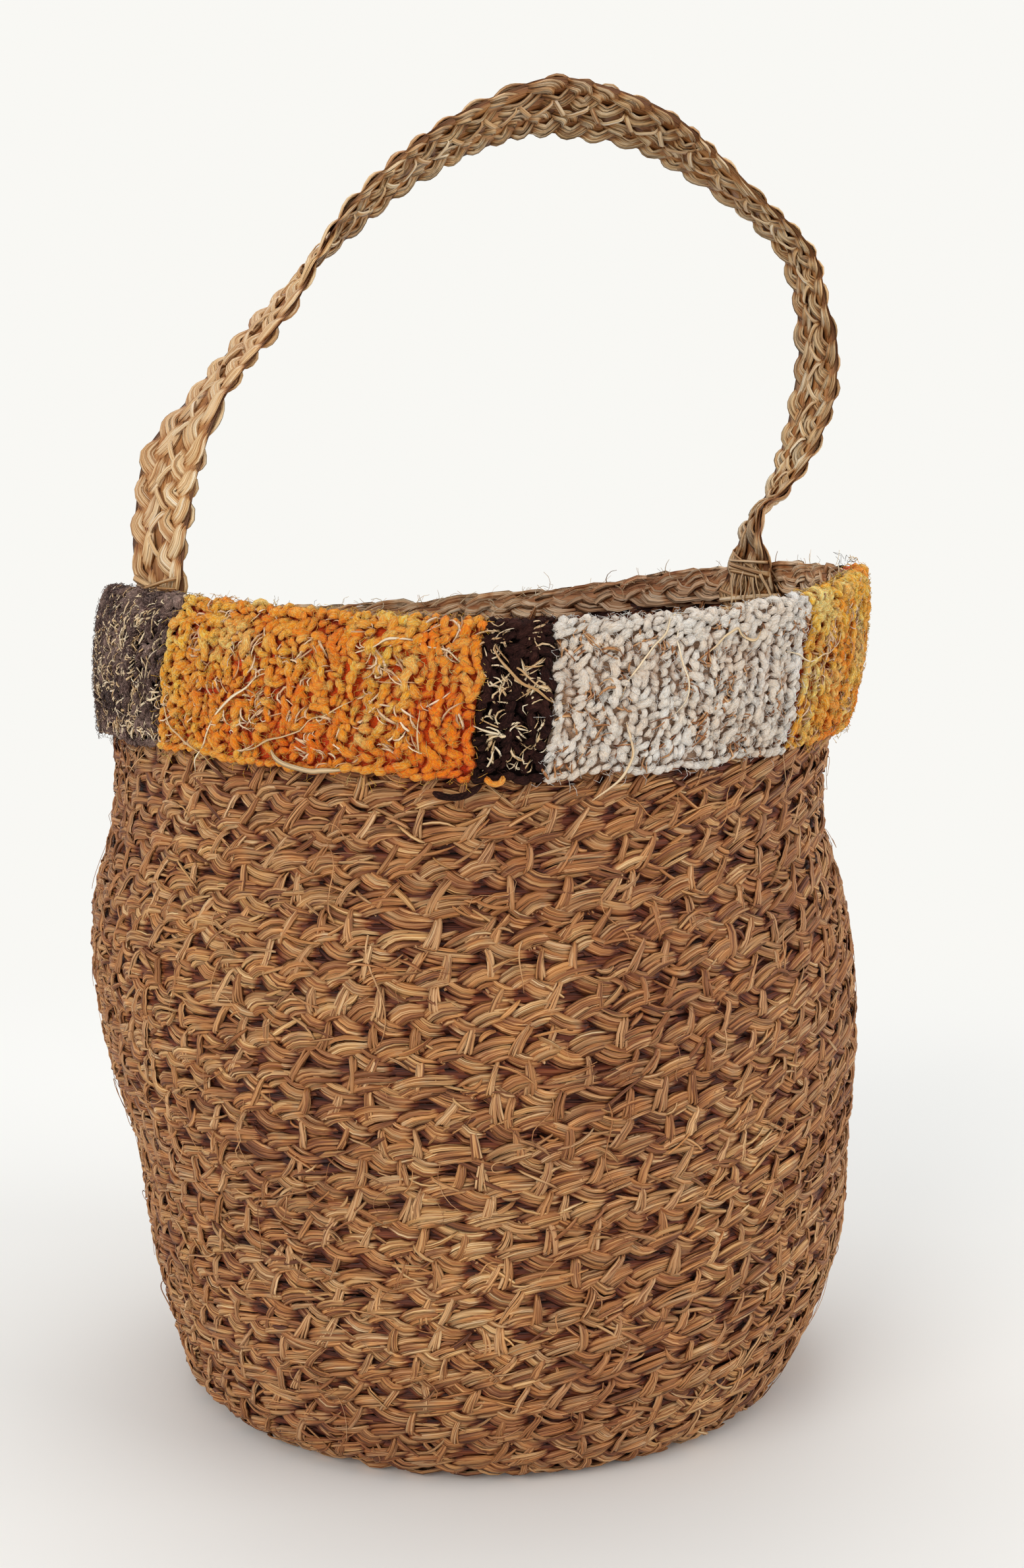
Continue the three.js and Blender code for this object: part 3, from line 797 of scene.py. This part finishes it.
# Yarn band
band = {
    "height": 50,
    "middleOut": 5.5,      # of the yarn's mid line from the plait's
    "capRise": 2.2,        # over the rim
    "capOut": 2.1,
    "hemWave": 1.5,        # of the lower edge
    "capTurn": 125,        # degrees
    "capLength": 7,
    "front": -124,         # degrees, where the camera sees the rim from outside
    "start": -171,         # degrees
    "gap": 0.3,            # between one block and the next
    "columnWidth": 3.6,    # of a column of stitches
    "stitchLength": 4.8,
    "stitchPitch": 3.2,
    "yarnRadius": 1.3,
    "ribSpacing": 9.6,
    "ribHeight": 0.8,
    "topRow": 7,           # of bulkier yarn along the rim
    "lumps": 0.35,         # loops that stand out, for each stitch
    "rimRadius": 145.5,
    "fuzz": 0.19,          # hairs for each square mm
}
bandBlocks = [             # node, degrees, yarn, how wild its stitches are, square mm for each bunch of raffia
    ("band_orange_front", 47, "orange", 1.0, 90),
    ("band_dark_stripe_front", 9, "dark", 1.0, 36),
    ("band_cream_front", 40, "cream", 0.75, 90),
    ("band_orange_right", 46, "orange", 1.1, 70),
    ("band_dark_stripe_right", 10, "dark", 1.0, 36),
    ("band_cream_back", 55, "cream", 0.75, 90),
    ("band_orange_back", 50, "orange", 1.0, 90),
    ("band_dark_stripe_back", 10, "dark", 1.0, 36),
    ("band_cream_left", 38, "cream", 0.75, 90),
    ("band_brown_left", 55, "brown", 1.2, 24),
]
borderLeans = {"band_orange_front": (-5, 5), "band_orange_right": (-2, 1)}     # mm at the foot and at the rim
looseStrips = [            # width in mm, then angle in degrees and height in mm of each point
    (2.0, [(-152, 7), (-149, 2.5), (-144, 1.5), (-139.6, 3)]),
    (0.9, [(-165.3, -7), (-162, 6), (-160.6, 13.5), (-156, 24), (-151.6, 32)]),
    (0.8, [(-158, 3), (-152, 9), (-146, 16), (-140, 25)]),
    (0.7, [(-131, 8), (-131.5, 15), (-131.2, 23)]),
    (0.9, [(-140, 40), (-136, 44), (-131, 43), (-126, 38)]),
    (1.0, [(-123.5, 47), (-121.5, 38), (-118, 31), (-113.6, 25)]),
    (0.8, [(-122.5, 44), (-119, 35), (-115.5, 29), (-114, 22)]),
    (0.9, [(-106.1, 26), (-104.5, 36), (-101.5, 45), (-100, 50), (-97.2, 54)]),
    (1.0, [(-94.4, 38), (-92, 44), (-89.9, 46), (-87, 41), (-84.7, 44)]),
    (1.3, [(-108, -9), (-105.5, -2), (-104, 8), (-105, 18)]),
    (0.7, [(-99, 18), (-97, 28), (-99, 40), (-98.5, 50)]),
    (0.8, [(-80, 36), (-75, 30), (-68, 33), (-62, 41)]),
    (0.7, [(-171, 20), (-168, 8), (-164, 2), (-160, -3)]),
]


def wrapBand(flat):
    # x is measured round the rim, y up from the band's lower edge and over the rim, z outward
    angle = flat[:, 0] / band["rimRadius"]
    # at the back the yarn ends below the top of the rim, and the raffia shows over it
    back = np.clip(0.5 - 1.6 * np.cos(angle - math.radians(band["front"])), 0, 1)
    y = flat[:, 1] * (1 - back * (band["capLength"] + 2) / (band["height"] + band["capLength"]))
    y = y + band["hemWave"] * wander(55, angle * 8 + 30) * np.clip(1 - y / 24, 0, 1)
    over = np.maximum(y - band["height"], 0) / band["capLength"] * math.radians(band["capTurn"])
    along = wallLength + np.minimum(y - band["height"], 0) + (band["capRise"] + flat[:, 2]) * np.sin(over)
    out = band["capOut"] + (band["middleOut"] - band["capOut"] + flat[:, 2]) * np.cos(over)
    return onWall(along, angle, out)


def borderShift(number, y):
    # how far the border at the start of a block strays sideways, in mm
    number = number % len(bandBlocks)
    foot, rim = borderLeans.get(bandBlocks[number][0], (0, 0))
    share = np.clip(y / band["height"], 0, 1)
    return foot + (rim - foot) * share + 1.6 * wander(900 + number, y / 6 + 5)


def fitBlock(path, number, first, last):
    # moves a block's yarn so that it follows both of its wavy borders
    share = np.clip((path[..., 0] - first) / (last - first), 0, 1)
    start, end = borderShift(number, path[..., 1]), borderShift(number + 1, path[..., 1])
    path[..., 0] = path[..., 0] + start * (1 - share) + end * share
    return path


def gridMesh(name, first, last, low, high, step, lift, thickness, wrap, bend):
    # a thin cloth between two distances and two heights
    across = max(int((last - first) / step), 2)
    up = max(int((high - low) / step), 2)
    sheet = bmesh.new()
    bmesh.ops.create_grid(sheet, x_segments=across, y_segments=up, size=0.5)
    bmesh.ops.scale(sheet, vec=(last - first, high - low, 1), verts=sheet.verts)
    bmesh.ops.translate(sheet, vec=((first + last) / 2, (low + high) / 2, lift), verts=sheet.verts)
    bmesh.ops.solidify(sheet, geom=sheet.faces[:], thickness=thickness)
    bmesh.ops.recalc_face_normals(sheet, faces=sheet.faces)
    mesh = meshFrom(sheet, name)
    flat = bend(vertexPlaces(mesh).astype(float))
    # height 0 gives the cloth the full painted hollow shade of its yarn
    setAttributes(mesh, strand=flat, tone=np.zeros(len(flat)), height=np.zeros(len(flat)))
    mesh.vertices.foreach_set("co", (wrap(flat) / 1000).astype(np.float32).ravel())
    mesh.shade_smooth()
    return mesh


def crochetPaths(first, last, wild, random):
    # short bent lengths of yarn: columns of leaning stitches, loops that stand out, a row along the foot
    columns = max(int(round((last - first) / band["columnWidth"])), 1)
    width = (last - first) / columns
    top = band["height"] + band["capLength"]
    rows = int((top - 3) / band["stitchPitch"])
    column, row = (v.ravel() for v in np.meshgrid(np.arange(columns), np.arange(rows)))
    count = len(column)
    x = first + (column + 0.5) * width + random.uniform(-0.7, 0.7, count) * wild
    y = 3.4 + (row + 0.5) * band["stitchPitch"] + random.uniform(-0.7, 0.7, count) * wild
    y = y + np.where(column % 2 == 0, 0, band["stitchPitch"] / 2)
    lean = np.where(column % 2 == 0, 0.5, -0.5) + random.normal(0, 0.5, count) * wild
    z = band["ribHeight"] * np.cos(2 * np.pi * (x - first) / band["ribSpacing"])
    z = z + 0.35 * wander(int(first) % 97 + 5, y / 6 + x / 7 + 900) + random.uniform(-0.3, 0.4, count)
    size = random.uniform(0.7, 1.25, count)
    rim = (y > band["height"] - band["topRow"]) & (y < band["height"] + 2)
    lean = np.where(rim, 1.2 + random.normal(0, 0.45, count), lean)
    z = np.where(rim, random.uniform(0.2, 0.8, count), z)
    size = np.where(rim, size * 1.1, size)
    extra, edge = int(count * band["lumps"]), int((last - first) / 3.8)
    foot = first + (np.arange(edge) + 0.5) * (last - first) / edge
    x = np.concatenate([x, random.uniform(first + 1, last - 1, extra), foot])
    y = np.concatenate([y, random.uniform(3, top - 3, extra), random.uniform(1.0, 2.4, edge)])
    lean = np.concatenate([lean, random.uniform(-1.6, 1.6, extra), 1.35 + random.normal(0, 0.25, edge)])
    z = np.concatenate([z, random.uniform(0.3, 1.1, extra), random.uniform(0, 0.5, edge)])
    size = np.concatenate([size, random.uniform(0.55, 0.95, extra), random.uniform(0.85, 1.2, edge)])
    count = len(x)
    t = np.linspace(-1, 1, 7)
    half = band["stitchLength"] / 2 * (size * random.uniform(0.8, 1.25, count))[:, None]
    alongX, alongY = bentPaths(t, half, lean[:, None], random.uniform(-1.2, 1.2, (count, 1)) * wild)
    height = z[:, None] + 0.7 - 1.9 * t ** 2
    inside = np.clip(x[:, None] + alongX, first + 0.6, last - 0.6)
    path = np.stack([inside, np.clip(y[:, None] + alongY, 0.8, top), height], axis=-1)
    radius = band["yarnRadius"] * size[:, None] * (1 - 0.2 * t ** 2 - 0.3 * t ** 4)
    return path, radius * random.uniform(0.84, 1.16, (count, 7))      # lumpy, as spun by hand


def yarnTone(colour, x, y, random):
    # the orange is paler to the left and along the rim, and deeper low on the right
    drift = 0.3 * wander(77, x / 23 + 40) + 0.25 * wander(78, y / 7 + x / 90 + 40)
    if colour == "orange":
        share = (x - x.min()) / (x.max() - x.min())
        drift = drift + 0.4 * np.clip(y / band["height"] - 0.45, -0.5, 0.6) + 0.5 * (0.45 - share)
    return np.clip(0.5 + drift + random.normal(0, 0.16, len(x)), 0, 1)[:, None]


def fuzzMesh(name, first, last, number, look, random):
    count = int((last - first) * (band["height"] + band["capLength"]) * look["fuzz"])
    x = random.uniform(first, last, count)
    y = random.uniform(0, band["height"] + band["capLength"], count)
    path = curlyPaths(random, x, y, random.uniform(1.8, 5, count), 3, 0.9, 1.5, random.uniform(0.6, 2.0, count))
    path = fitBlock(path, number, first, last)
    return strandMesh(name, path, 0.09, 0.09, wrapBand, corners=3, seed=number, tone=1.0)


def raffiaBits(name, first, last, number, area, random):
    # raffia worked in with the yarn: little bunches of bent strips that show between the stitches
    bunches, strips = int((last - first) * band["height"] / area * 1.5), 3
    shape = (bunches * strips, 1)
    each = drawer(random, bunches * strips)

    def ofBunch(low, high):
        return np.repeat(random.uniform(low, high, bunches), strips)[:, None]

    x = ofBunch(first + 2, last - 2) + random.normal(0, 1.3, shape)
    y = ofBunch(1.5, band["height"] + 3) + random.normal(0, 1.3, shape)
    lean = ofBunch(-1.5, 1.5) + random.normal(0, 0.5, shape)
    t = np.linspace(-1, 1, 5)
    half = ofBunch(2.2, 5.5) * each(0.5, 1.2)
    alongX, alongY = bentPaths(t, half, lean, ofBunch(-2.6, 2.6) + random.normal(0, 0.6, shape))
    z = ofBunch(1.3, 2.4) + each(-0.4, 0.5) - 1.9 * t ** 2
    path = np.stack([x + alongX, np.maximum(y + alongY, 0.5), z], axis=-1)
    width = each(0.2, 0.6) * (1 - 0.5 * t ** 2)
    path = fitBlock(path, number, first, last)
    return strandMesh(name, path, width, 0.16, wrapBand, each(-0.9, 0.9) + t * 0.5, corners=3, seed=number)


def makeBand():
    start = math.radians(band["start"]) * band["rimRadius"]
    for number, (node, degrees, colour, wild, area) in enumerate(bandBlocks):
        end = start + math.radians(degrees) * band["rimRadius"]
        first, last = start + band["gap"] / 2, end - band["gap"] / 2
        random = np.random.default_rng(300 + number)
        path, radius = crochetPaths(first, last, wild, random)
        tone = yarnTone(colour, path[:, 3, 0], path[:, 3, 1], random)
        path = fitBlock(path, number, first, last)
        mesh = strandMesh("crochet", path, radius * 1.1, radius * 0.95, wrapBand, tone=tone, corners=5,
                          seed=330 + number)
        name = node.replace("band_", "crochet_")
        addPiece(name, mesh, yarn[colour], [node])
        # a cloth under the stitches that fills their gaps, in painted hollow shade
        cloth = gridMesh("cloth", first + 0.3, last - 0.3, 1, band["height"] + band["capLength"] - 0.8,
                         4, -0.9, 1.0, wrapBand, lambda flat: fitBlock(flat, number, first, last))
        addPiece(name + "_ground", cloth, yarn[colour])
        fuzz = fuzzMesh("fuzz", first, last, number, band, random)
        addPiece(name + "_fuzz", fuzz, yarn[colour])
        bits = raffiaBits("bits", first, last, number, area, random)
        kind = {"cream": "stitch", "orange": "rim"}.get(colour, "loose")
        addPiece(name + "_raffia_bits", bits, raffia[kind])
        start = end


def bandPath(points, count):
    # evenly spaced places along a smooth line over the band, from angles in degrees and heights in mm
    line = smoothLine([(math.radians(angle) * band["rimRadius"], height, 0) for angle, height in points])
    run = runAlong(line)
    places = np.linspace(0, run[-1], count)
    return placesAlong(run, line, places), places


def makeStrips():
    random = np.random.default_rng(401)
    paths, widths = [], []
    t = np.linspace(-1, 1, 26)
    for width, points in looseStrips:
        path, places = bandPath(points, len(t))
        bends = [wander(int(random.integers(1000)), places / 6 + 3) for _ in range(3)]
        path = path + np.stack([0.9 * bends[0], 0.9 * bends[1], 0.5 + bends[2]], axis=-1)
        path[:, 2] += 2.1 - 1.8 * np.abs(t) ** 4
        paths.append(path)
        widths.append(width / 2 * (0.8 + 0.25 * bends[2]) * (1 - 0.6 * np.abs(t) ** 4))
    mesh = strandMesh("loose_strips", np.array(paths), np.array(widths), 0.16, wrapBand,
                      random.uniform(-0.3, 0.3, (len(paths), 1)), corners=4, seed=402)
    addPiece("loose_strips", mesh, raffia["loose"])


yarnTails = [              # yarn, width in mm, then angle in degrees and height in mm of each point
    ("dark", 2.6, [(-129, -3.5), (-127.2, -5), (-125, -4.6), (-123, -1.5)]),
    ("orange", 2.2, [(-122.6, 1.5), (-121.6, -0.6), (-120.6, -0.2), (-120.2, 2)]),
]


def makeTails():
    t = np.linspace(-1, 1, 14)
    for colour, width, points in yarnTails:
        path, _ = bandPath(points, len(t))
        path[:, 2] = 1.9 - 1.3 * np.abs(t) ** 4
        radius = width / 2 * (1 + 0.2 * wander(83, t * 4 + 9)) * (1 - 0.5 * np.abs(t) ** 6)
        mesh = strandMesh("tail", path[None], radius[None], radius[None], wrapBand, tone=0.25, seed=84)
        addPiece(colour + "_yarn_tail", mesh, yarn[colour])


rimFibres = {
    "count": 260,
    "length": (3, 10),
    "width": (0.12, 0.34),
    "depth": 4.5,          # of the rim, to each side of its middle
}


def wrapRim(flat):
    # x round the rim, y up from its top, z outward
    place = onWall(np.full(len(flat), wallLength), flat[:, 0] / band["rimRadius"], flat[:, 2])
    place[:, 2] += flat[:, 1]
    return place


def makeRimFibres(look):
    random = np.random.default_rng(95)
    each = drawer(random, look["count"])
    t = np.linspace(0, 1, 6)
    length = each(*look["length"])
    lean = random.choice([-1, 1], length.shape) * each(0.6, 1.7)
    bend = random.normal(0, 1.0, length.shape)
    x = each(0, 2 * np.pi) * band["rimRadius"] + length * t * np.sin(lean + bend * t)
    y = -2 + length * t * np.cos(lean + bend * t)
    z = each(-1, 1) * look["depth"] + length * t * random.normal(0, 0.3, length.shape)
    width = each(*look["width"]) * (1 - 0.6 * t)
    mesh = strandMesh("rim_fibres", np.stack([x, y, z], axis=-1), width, 0.1, wrapRim, each(-1.2, 1.2),
                      corners=3, seed=96)
    addPiece("rim_fibres", mesh, raffia["loose"])


makeBand()
makeStrips()
makeTails()
makeRimFibres(rimFibres)
print("band crocheted:", len(bandBlocks), "blocks")

# Strap
strap = {
    "archHeight": 167,
    "endDepth": 6,         # of the sewn end's middle inside the wall's middle
    "sewnAt": (176.5, -2), # degrees round the rim, left end and right end
    "stations": [          # share of the span, share of the height, roll in degrees, share of the width
        (0.008, 0.066, 20, 1), (0.03, 0.188, 24, 1), (0.083, 0.313, 4, 1), (0.195, 0.506, 0, 1),
        (0.296, 0.684, -28, 1), (0.442, 0.86, -33, 1), (0.621, 0.979, -37, 1), (0.728, 0.973, -28, 1),
        (0.828, 0.941, -14, 1), (0.98, 0.811, 9, 1), (1.101, 0.668, 13, 1), (1.127, 0.548, 15, 1),
        (1.138, 0.428, 5, 1), (1.127, 0.296, 0, 1), (1.09, 0.156, 4, 0.88), (1.041, 0.05, 16, 0.76),
    ],
    "leftFoot": (-135.8264, 8.2699, 328.3226),
    "rightFoot": (136.102, -4.7186, 341.4971),
    "footRolls": (18, 28),
    "footWidths": (1, 0.84),
}
leftFoot, rightFoot = np.array(strap["leftFoot"]), np.array(strap["rightFoot"])
footSpan = rightFoot - leftFoot
archUp = unit(np.array([-footSpan[2], 0, footSpan[0]]))
strapFront = unit(np.array([footSpan[1], -footSpan[0], 0]))


def sewnEnd(angle, downs):
    downs = np.array(downs, float)
    return onWall(wallLength - downs, np.full_like(downs, angle), np.full_like(downs, -strap["endDepth"]))


def strapLine():
    # the strap's middle from the foot of its left end, over the arch, to the foot of its right end
    downs = np.array([56, 45, 34, 23, 12, 2.0])
    arch = [leftFoot + footSpan * along + archUp * strap["archHeight"] * height
            for along, height, _, _ in strap["stations"]]
    left, right = (sewnEnd(math.radians(angle), d) for angle, d in zip(strap["sewnAt"], (downs, downs[::-1])))
    points = np.vstack([left, [leftFoot], arch, [rightFoot], right])
    leftRoll, rightRoll = strap["footRolls"]
    leftWidth, rightWidth = strap["footWidths"]
    rolls = [0] * 5 + [6, leftRoll] + [roll for _, _, roll, _ in strap["stations"]] + [rightRoll, 8] + [0] * 5
    widths = [1.0] * 6 + [leftWidth] + [width for _, _, _, width in strap["stations"]]
    widths = widths + [rightWidth, 1.25, 1.3, 1.15, 1, 1, 1]
    steps = 40
    line = smoothLine(points, steps)
    stations = np.arange(len(line)) / steps
    rolls = np.interp(stations, np.arange(len(points)), np.radians(rolls))
    widths = np.interp(stations, np.arange(len(points)), widths)
    ahead = unit(np.gradient(line, axis=0))
    under = unit(np.cross(ahead, strapFront))
    side = strapFront * np.cos(rolls)[:, None] + under * np.sin(rolls)[:, None]
    side = unit(side - ahead * np.sum(side * ahead, axis=1, keepdims=True))
    return line, side, np.cross(side, ahead), widths


strapMiddle, strapSide, strapOut, strapWidths = strapLine()
strapRun = runAlong(strapMiddle)
strapLength = strapRun[-1]


def wrapStrap(flat):
    # x along the strap, y across it with the far side positive, z outward
    x, y, z = flat.T
    width = np.interp(x, strapRun, strapWidths)
    middle, side, out = (placesAlong(strapRun, table, x) for table in (strapMiddle, strapSide, strapOut))
    thick = 1 + 0.5 * (1 - width)
    return middle - unit(side) * (y * width)[:, None] + unit(out) * (z * thick)[:, None]


strapPlait = {
    "period": 40,
    "reach": 3.9,
    "rise": 1.4,
    "strandWidth": 7.4,
    "ribbons": 5,
    "ribbonWidth": 3.0,
    "ribbonHeight": 1.2,
    "crown": 0.5,
    "tip": 0,
    "edgeRun": 0.24,
    "ringStep": 1.8,
    "unruly": 1.0,
}


lacing = {                 # that zigzags over the seam, on both faces
    "clear": 75,           # at each end of the strap
    "step": 8.5,
    "reach": 3.6,
}
lashings = {               # that sew the strap's ends to the wall, across its inner face
    "strips": 13,
    "first": 8,            # from the end of the strap
    "last": 46,
    "slant": 2.6,
}


def addStrapPiece(name, mesh, nodes=()):
    piece = addPiece(name, mesh, raffia["strap"], nodes, body=None)
    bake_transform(piece)


def makeStrap():
    for name, middle, seed, nodes in (
            ("strap_near_plait", -7.6, 51, ["strap_plait_front", "strap_end_left", "strap_end_right"]),
            ("strap_far_plait", 7.6, 57, ["strap_plait_back"])):
        mesh = plaitMesh(name, 1.0, strapLength - 1.0, strapPlait, wrapStrap, seed, middle=middle)
        addStrapPiece(name, mesh, nodes)
    # a flat strip behind the plaits that closes the gaps between them, in the painted recess shade
    filling = fillingMesh("strap_filling", 3.0, strapLength - 3.0, 11.5, wrapStrap, middles=(-8.6, 0, 8.6),
                          step=4, level=0)
    addStrapPiece("strap_filling", filling)


def makeLacing(look):
    count = int((strapLength - 2 * look["clear"]) / look["step"])
    x = look["clear"] + np.arange(count) * look["step"]
    side = np.where(np.arange(count) % 2 == 0, 1.0, -1.0)
    t = np.linspace(-1, 1, 8)
    y = (side * look["reach"])[:, None] * t
    z = (2.5 - 2.6 * np.abs(t) ** 5) * np.ones((count, 1))
    path = np.concatenate([np.stack([x[:, None] + t * look["step"] * 0.5, y, z * face], axis=-1) for face in (1, -1)])
    mesh = strandMesh("strap_lacing", path, 1.1, 0.3, wrapStrap, seed=61)
    addStrapPiece("strap_lacing", mesh, ["strap_seam_lacing"])


def makeLashing(name, node, first, last, seed):
    random = np.random.default_rng(seed)
    count = lashings["strips"]
    each = drawer(random, count)
    x = np.linspace(first, last, count) + random.uniform(-1.5, 1.5, count)
    t = np.linspace(-1, 1, 12)
    half = each(15.5, 17.5)
    slant = np.where(np.arange(count) % 2 == 0, 1, -1)[:, None] * lashings["slant"] * each(0.6, 1.3)
    z = -3.3 - 0.3 * each(0, 1) + 3.6 * np.abs(t) ** 10
    path = np.stack([x[:, None] + t * slant, t * half, z], axis=-1)
    mesh = strandMesh(name, path, each(0.7, 1.3), 0.4, wrapStrap, seed=seed)
    addPiece(name, mesh, raffia["strap"], [node])


footTies = {
    "strips": 5,           # that tie across each foot, on each face
    "ends": 11,            # loose ends of the strap's strips below them
    "endLength": (9, 24),
    "place": 58,           # of a foot, from the end of the strap
}


def makeFootTies(look):
    random = np.random.default_rng(91)
    ties, ends = drawer(random, look["strips"]), drawer(random, look["ends"])
    t = np.linspace(-1, 1, 12)
    paths, widths = [], []
    for foot, inward in ((look["place"], -1), (strapLength - look["place"], 1)):
        for face in (1, -1):
            x = foot + ties(-4, 4)
            slant = ties(-6, 6)
            half = ties(10, 15)
            z = 3.4 + ties(0, 0.5) - 3.4 * np.abs(t) ** 8
            paths.append(np.stack([x + t * slant, t * half, z * face], axis=-1))
            widths.append(ties(0.5, 1.3) * np.ones_like(t))
            x = foot + inward * ends(-2, 6)
            length = ends(*look["endLength"]) * inward
            y = ends(-13, 13) + random.normal(0, 2.2, length.shape) * (t + 1)
            z = 3.2 + ends(0, 1.2) * (t + 1) + 0.5 * np.sin(4 * t + x)
            paths.append(np.stack([x + length * (t + 1) / 2, y * (1 + 0.12 * t), z * face], axis=-1))
            widths.append(ends(0.4, 1.1) * (1 - 0.45 * (t + 1) / 2))
    path, width = np.concatenate(paths), np.concatenate(widths)
    mesh = strandMesh("foot_ties", path, width, 0.3, wrapStrap, random.uniform(-0.5, 0.5, (len(path), 1)),
                      corners=4, seed=92)
    addStrapPiece("foot_ties", mesh)


makeStrap()
makeLacing(lacing)
makeFootTies(footTies)
for name, node, start, seed in (
        ("left_end_lashing", "end_lashing_left", 0, 71),
        ("right_end_lashing", "end_lashing_right", strapLength - lashings["first"] - lashings["last"], 72)):
    makeLashing(name, node, start + lashings["first"], start + lashings["last"], seed)
print("strap plaited:", round(strapLength), "mm")
